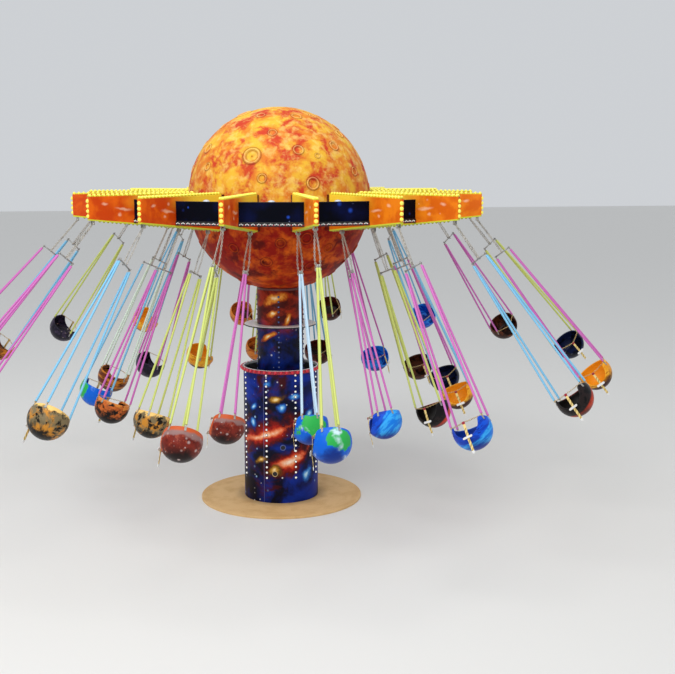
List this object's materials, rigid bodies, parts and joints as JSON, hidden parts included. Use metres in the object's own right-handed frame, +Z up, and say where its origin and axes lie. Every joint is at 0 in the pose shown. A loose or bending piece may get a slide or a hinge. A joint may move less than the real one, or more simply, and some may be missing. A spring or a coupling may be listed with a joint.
{
  "type": "chair swing ride",
  "caption": "Fairground chair swing: drum on a round foot, lifting column, and a turning sun whose arms carry planet seats on long chains.",
  "frame": {"origin": "centre of the round foot's underside, on the ground and on the turning axis", "axes": "+Z up along the turning axis; -Y along arm 01, towards the side the ride is usually seen from; +X to the right from there"},
  "size_m": [16.087, 15.8929, 9.375],
  "materials": {
    "tan_foot": "matt, dusty",
    "galaxy_print": "satin print of stars and clouds",
    "red_trim": "gloss",
    "dark_steel": "satin",
    "nebula_print": "satin print",
    "white_plate": "satin",
    "sun_deep_red": "satin, moulded craters",
    "sun_orange": "satin, moulded craters",
    "star_board": "satin print of stars",
    "arm_orange": "satin",
    "earth_seat": "gloss",
    "ice_seat": "gloss",
    "crust_seat": "gloss",
    "amber_seat": "gloss",
    "night_seat": "gloss",
    "umber_seat": "gloss",
    "azure_seat": "gloss",
    "maroon_seat": "gloss",
    "copper_seat": "gloss",
    "dusk_seat": "gloss",
    "banded_seat": "gloss",
    "ember_seat": "gloss",
    "sand_seat": "gloss",
    "mars_seat": "gloss"
  },
  "bodies": {
    "base": {"base_disc": "tan_foot", "drum_wall": "galaxy_print", "drum_rim": "red_trim", "guide_mast": "dark_steel"},
    "tower": {"tower_column": "nebula_print", "collar_plate": "white_plate"},
    "head": {"slew_ring": "dark_steel", "sun_lower_shell": "sun_deep_red", "arm_hub_ring": "dark_steel", "sun_upper_shell": "sun_orange", "star_board_ring": "star_board", "arm_01": "arm_orange", "arm_02": "arm_orange", "arm_03": "arm_orange", "arm_04": "arm_orange", "arm_05": "arm_orange", "arm_06": "arm_orange", "arm_07": "arm_orange", "arm_08": "arm_orange", "arm_09": "arm_orange", "arm_10": "arm_orange", "arm_11": "arm_orange", "arm_12": "arm_orange", "arm_13": "arm_orange", "arm_14": "arm_orange", "arm_15": "arm_orange", "arm_16": "arm_orange"},
    "outer_seat_01": {"outer_seat_01": "earth_seat"},
    "inner_seat_01": {"inner_seat_01": "earth_seat"},
    "outer_seat_02": {"outer_seat_02": "ice_seat"},
    "inner_seat_02": {"inner_seat_02": "ice_seat"},
    "outer_seat_03": {"outer_seat_03": "crust_seat"},
    "inner_seat_03": {"inner_seat_03": "crust_seat"},
    "outer_seat_04": {"outer_seat_04": "amber_seat"},
    "inner_seat_04": {"inner_seat_04": "amber_seat"},
    "outer_seat_05": {"outer_seat_05": "night_seat"},
    "inner_seat_05": {"inner_seat_05": "night_seat"},
    "outer_seat_06": {"outer_seat_06": "umber_seat"},
    "inner_seat_06": {"inner_seat_06": "umber_seat"},
    "outer_seat_07": {"outer_seat_07": "azure_seat"},
    "inner_seat_07": {"inner_seat_07": "azure_seat"},
    "outer_seat_08": {"outer_seat_08": "maroon_seat"},
    "inner_seat_08": {"inner_seat_08": "maroon_seat"},
    "outer_seat_09": {"outer_seat_09": "copper_seat"},
    "inner_seat_09": {"inner_seat_09": "copper_seat"},
    "outer_seat_10": {"outer_seat_10": "amber_seat"},
    "inner_seat_10": {"inner_seat_10": "amber_seat"},
    "outer_seat_11": {"outer_seat_11": "dusk_seat"},
    "inner_seat_11": {"inner_seat_11": "dusk_seat"},
    "outer_seat_12": {"outer_seat_12": "banded_seat"},
    "inner_seat_12": {"inner_seat_12": "banded_seat"},
    "outer_seat_13": {"outer_seat_13": "earth_seat"},
    "inner_seat_13": {"inner_seat_13": "earth_seat"},
    "outer_seat_14": {"outer_seat_14": "ember_seat"},
    "inner_seat_14": {"inner_seat_14": "ember_seat"},
    "outer_seat_15": {"outer_seat_15": "sand_seat"},
    "inner_seat_15": {"inner_seat_15": "sand_seat"},
    "outer_seat_16": {"outer_seat_16": "mars_seat"},
    "inner_seat_16": {"inner_seat_16": "mars_seat"}
  },
  "joints": [
    {"name": "tower_lift", "type": "slide", "parent": "base", "child": "tower", "axis": [0, 0, 1], "range_m": [-1.45, 0]},
    {"name": "head_spin", "type": "hinge", "parent": "tower", "child": "head", "pos_m": [0, 0, 5.1], "axis": [0, 0, 1], "continuous": true},
    {"name": "outer_swing_01", "type": "hinge", "parent": "head", "child": "outer_seat_01", "pos_m": [0, -4.66, 6.78953], "axis": [-1, 0, 0], "range_deg": [-37, 8]},
    {"name": "inner_swing_01", "type": "hinge", "parent": "head", "child": "inner_seat_01", "pos_m": [0, -2.63, 6.5705], "axis": [-1, 0, 0], "range_deg": [-27.5, 6]},
    {"name": "outer_swing_02", "type": "hinge", "parent": "head", "child": "outer_seat_02", "pos_m": [1.7833, -4.30528, 6.78953], "axis": [-0.9239, -0.3827, 0], "range_deg": [-36, 7.8]},
    {"name": "inner_swing_02", "type": "hinge", "parent": "head", "child": "inner_seat_02", "pos_m": [1.00646, -2.4298, 6.5705], "axis": [-0.9239, -0.3827, 0], "range_deg": [-25.5, 5.6]},
    {"name": "outer_swing_03", "type": "hinge", "parent": "head", "child": "outer_seat_03", "pos_m": [3.29512, -3.29512, 6.78953], "axis": [-0.7071, -0.7071, 0], "range_deg": [-41, 8.9]},
    {"name": "inner_swing_03", "type": "hinge", "parent": "head", "child": "inner_seat_03", "pos_m": [1.85969, -1.85969, 6.5705], "axis": [-0.7071, -0.7071, 0], "range_deg": [-21.5, 4.7]},
    {"name": "outer_swing_04", "type": "hinge", "parent": "head", "child": "outer_seat_04", "pos_m": [4.30528, -1.7833, 6.78953], "axis": [-0.3827, -0.9239, 0], "range_deg": [-38, 8.3]},
    {"name": "inner_swing_04", "type": "hinge", "parent": "head", "child": "inner_seat_04", "pos_m": [2.4298, -1.00646, 6.5705], "axis": [-0.3827, -0.9239, 0], "range_deg": [-22.5, 4.9]},
    {"name": "outer_swing_05", "type": "hinge", "parent": "head", "child": "outer_seat_05", "pos_m": [4.66, 0, 6.78953], "axis": [0, -1, 0], "range_deg": [-41.5, 9]},
    {"name": "inner_swing_05", "type": "hinge", "parent": "head", "child": "inner_seat_05", "pos_m": [2.63, 0, 6.5705], "axis": [0, -1, 0], "range_deg": [-23, 5]},
    {"name": "outer_swing_06", "type": "hinge", "parent": "head", "child": "outer_seat_06", "pos_m": [4.30528, 1.7833, 6.78953], "axis": [0.3827, -0.9239, 0], "range_deg": [-43, 9.3]},
    {"name": "inner_swing_06", "type": "hinge", "parent": "head", "child": "inner_seat_06", "pos_m": [2.4298, 1.00646, 6.5705], "axis": [0.3827, -0.9239, 0], "range_deg": [-25, 5.5]},
    {"name": "outer_swing_07", "type": "hinge", "parent": "head", "child": "outer_seat_07", "pos_m": [3.29512, 3.29512, 6.78953], "axis": [0.7071, -0.7071, 0], "range_deg": [-43.5, 9.5]},
    {"name": "inner_swing_07", "type": "hinge", "parent": "head", "child": "inner_seat_07", "pos_m": [1.85969, 1.85969, 6.5705], "axis": [0.7071, -0.7071, 0], "range_deg": [-26, 5.7]},
    {"name": "outer_swing_08", "type": "hinge", "parent": "head", "child": "outer_seat_08", "pos_m": [1.7833, 4.30528, 6.78953], "axis": [0.9239, -0.3827, 0], "range_deg": [-45, 9.8]},
    {"name": "inner_swing_08", "type": "hinge", "parent": "head", "child": "inner_seat_08", "pos_m": [1.00646, 2.4298, 6.5705], "axis": [0.9239, -0.3827, 0], "range_deg": [-27.5, 6]},
    {"name": "outer_swing_09", "type": "hinge", "parent": "head", "child": "outer_seat_09", "pos_m": [0, 4.66, 6.78953], "axis": [1, 0, 0], "range_deg": [-43, 9.3]},
    {"name": "inner_swing_09", "type": "hinge", "parent": "head", "child": "inner_seat_09", "pos_m": [0, 2.63, 6.5705], "axis": [1, 0, 0], "range_deg": [-29.5, 6.4]},
    {"name": "outer_swing_10", "type": "hinge", "parent": "head", "child": "outer_seat_10", "pos_m": [-1.7833, 4.30528, 6.78953], "axis": [0.9239, 0.3827, 0], "range_deg": [-42.5, 9.2]},
    {"name": "inner_swing_10", "type": "hinge", "parent": "head", "child": "inner_seat_10", "pos_m": [-1.00646, 2.4298, 6.5705], "axis": [0.9239, 0.3827, 0], "range_deg": [-27.5, 6]},
    {"name": "outer_swing_11", "type": "hinge", "parent": "head", "child": "outer_seat_11", "pos_m": [-3.29512, 3.29512, 6.78953], "axis": [0.7071, 0.7071, 0], "range_deg": [-43, 9.3]},
    {"name": "inner_swing_11", "type": "hinge", "parent": "head", "child": "inner_seat_11", "pos_m": [-1.85969, 1.85969, 6.5705], "axis": [0.7071, 0.7071, 0], "range_deg": [-26.5, 5.8]},
    {"name": "outer_swing_12", "type": "hinge", "parent": "head", "child": "outer_seat_12", "pos_m": [-4.30528, 1.7833, 6.78953], "axis": [0.3827, 0.9239, 0], "range_deg": [-41, 8.9]},
    {"name": "inner_swing_12", "type": "hinge", "parent": "head", "child": "inner_seat_12", "pos_m": [-2.4298, 1.00646, 6.5705], "axis": [0.3827, 0.9239, 0], "range_deg": [-25, 5.5]},
    {"name": "outer_swing_13", "type": "hinge", "parent": "head", "child": "outer_seat_13", "pos_m": [-4.66, 0, 6.78953], "axis": [0, 1, 0], "range_deg": [-41.5, 9]},
    {"name": "inner_swing_13", "type": "hinge", "parent": "head", "child": "inner_seat_13", "pos_m": [-2.63, 0, 6.5705], "axis": [0, 1, 0], "range_deg": [-24.5, 5.3]},
    {"name": "outer_swing_14", "type": "hinge", "parent": "head", "child": "outer_seat_14", "pos_m": [-4.30528, -1.7833, 6.78953], "axis": [-0.3827, 0.9239, 0], "range_deg": [-41.5, 9]},
    {"name": "inner_swing_14", "type": "hinge", "parent": "head", "child": "inner_seat_14", "pos_m": [-2.4298, -1.00646, 6.5705], "axis": [-0.3827, 0.9239, 0], "range_deg": [-21.5, 4.7]},
    {"name": "outer_swing_15", "type": "hinge", "parent": "head", "child": "outer_seat_15", "pos_m": [-3.29512, -3.29512, 6.78953], "axis": [-0.7071, 0.7071, 0], "range_deg": [-42, 9.1]},
    {"name": "inner_swing_15", "type": "hinge", "parent": "head", "child": "inner_seat_15", "pos_m": [-1.85969, -1.85969, 6.5705], "axis": [-0.7071, 0.7071, 0], "range_deg": [-23.5, 5.1]},
    {"name": "outer_swing_16", "type": "hinge", "parent": "head", "child": "outer_seat_16", "pos_m": [-1.7833, -4.30528, 6.78953], "axis": [-0.9239, 0.3827, 0], "range_deg": [-37.5, 8.2]},
    {"name": "inner_swing_16", "type": "hinge", "parent": "head", "child": "inner_seat_16", "pos_m": [-1.00646, -2.4298, 6.5705], "axis": [-0.9239, 0.3827, 0], "range_deg": [-28, 6.1]}
  ],
  "couplings": [
    {"joint": "inner_swing_01", "follows": "outer_swing_01", "ratio": 0.74324},
    {"joint": "outer_swing_02", "follows": "outer_swing_01", "ratio": 0.97297},
    {"joint": "inner_swing_02", "follows": "outer_swing_01", "ratio": 0.68918},
    {"joint": "outer_swing_03", "follows": "outer_swing_01", "ratio": 1.1081},
    {"joint": "inner_swing_03", "follows": "outer_swing_01", "ratio": 0.58108},
    {"joint": "outer_swing_04", "follows": "outer_swing_01", "ratio": 1.027},
    {"joint": "inner_swing_04", "follows": "outer_swing_01", "ratio": 0.6081},
    {"joint": "outer_swing_05", "follows": "outer_swing_01", "ratio": 1.1216},
    {"joint": "inner_swing_05", "follows": "outer_swing_01", "ratio": 0.62162},
    {"joint": "outer_swing_06", "follows": "outer_swing_01", "ratio": 1.1622},
    {"joint": "inner_swing_06", "follows": "outer_swing_01", "ratio": 0.67567},
    {"joint": "outer_swing_07", "follows": "outer_swing_01", "ratio": 1.1757},
    {"joint": "inner_swing_07", "follows": "outer_swing_01", "ratio": 0.7027},
    {"joint": "outer_swing_08", "follows": "outer_swing_01", "ratio": 1.2162},
    {"joint": "inner_swing_08", "follows": "outer_swing_01", "ratio": 0.74324},
    {"joint": "outer_swing_09", "follows": "outer_swing_01", "ratio": 1.1622},
    {"joint": "inner_swing_09", "follows": "outer_swing_01", "ratio": 0.79729},
    {"joint": "outer_swing_10", "follows": "outer_swing_01", "ratio": 1.1486},
    {"joint": "inner_swing_10", "follows": "outer_swing_01", "ratio": 0.74324},
    {"joint": "outer_swing_11", "follows": "outer_swing_01", "ratio": 1.1622},
    {"joint": "inner_swing_11", "follows": "outer_swing_01", "ratio": 0.71621},
    {"joint": "outer_swing_12", "follows": "outer_swing_01", "ratio": 1.1081},
    {"joint": "inner_swing_12", "follows": "outer_swing_01", "ratio": 0.67567},
    {"joint": "outer_swing_13", "follows": "outer_swing_01", "ratio": 1.1216},
    {"joint": "inner_swing_13", "follows": "outer_swing_01", "ratio": 0.66216},
    {"joint": "outer_swing_14", "follows": "outer_swing_01", "ratio": 1.1216},
    {"joint": "inner_swing_14", "follows": "outer_swing_01", "ratio": 0.58108},
    {"joint": "outer_swing_15", "follows": "outer_swing_01", "ratio": 1.1351},
    {"joint": "inner_swing_15", "follows": "outer_swing_01", "ratio": 0.63513},
    {"joint": "outer_swing_16", "follows": "outer_swing_01", "ratio": 1.0135},
    {"joint": "inner_swing_16", "follows": "outer_swing_01", "ratio": 0.75675}
  ]
}
